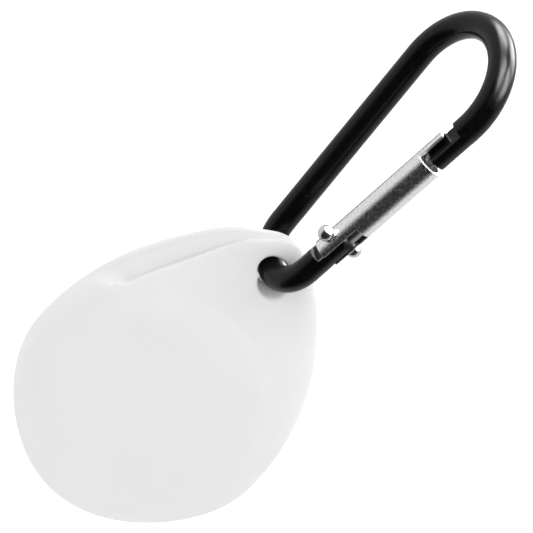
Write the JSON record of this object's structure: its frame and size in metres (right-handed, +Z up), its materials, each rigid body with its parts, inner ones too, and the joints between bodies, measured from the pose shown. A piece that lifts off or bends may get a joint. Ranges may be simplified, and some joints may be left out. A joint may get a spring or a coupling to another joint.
{
  "type": "eyelet case with carabiner",
  "caption": "Soft tear-drop case with a side mouth, hanging by its eyelet from a pear-shaped spring-gate carabiner.",
  "frame": {"origin": "inside face of the carabiner's wide top bend, where it hangs from a hook", "axes": "+Z up along the hanging carabiner, +X from its spine to its gate, +Y along the gate's rivet"},
  "size_m": [0.029, 0.049, 0.1237],
  "materials": {
    "black_anodised_rod": "glossy black anodised",
    "bare_aluminium": "bare drawn tube, mottled",
    "bright_rivet": "polished",
    "plunger_metal": "machined",
    "spring_wire": "drawn wire",
    "white_silicone": "soft matte white",
    "cap_film": "thin folded film"
  },
  "bodies": {
    "carabiner": {"carabiner_frame": "black_anodised_rod"},
    "gate": {"gate_tube": "bare_aluminium", "gate_rivet": "bright_rivet", "gate_spring": "spring_wire"},
    "plunger": {"gate_plunger": "plunger_metal"},
    "case": {"case_front": "white_silicone", "case_rear": "white_silicone", "folded_cap": "cap_film"}
  },
  "joints": [
    {"name": "gate_swing", "type": "hinge", "parent": "carabiner", "child": "gate", "pos_m": [0.0083, 0, -0.04211], "axis": [0, -1, 0], "range_deg": [0, 34], "stiffness_Nm_per_rad": 0.06, "springref_deg": -17.19},
    {"name": "plunger_slide", "type": "slide", "parent": "gate", "child": "plunger", "axis": [0.115, 0, 0.9934], "range_m": [0, 0.00075], "deforming": ["gate_spring"]},
    {"name": "case_swing", "type": "hinge", "parent": "carabiner", "child": "case", "pos_m": [0, 0, -0.0573], "axis": [-0.9135, 0.4067, 0], "range_deg": [-60, 60]}
  ],
  "couplings": [
    {"joint": "plunger_slide", "follows": "gate_swing", "m_per_rad": 0.0012}
  ]
}
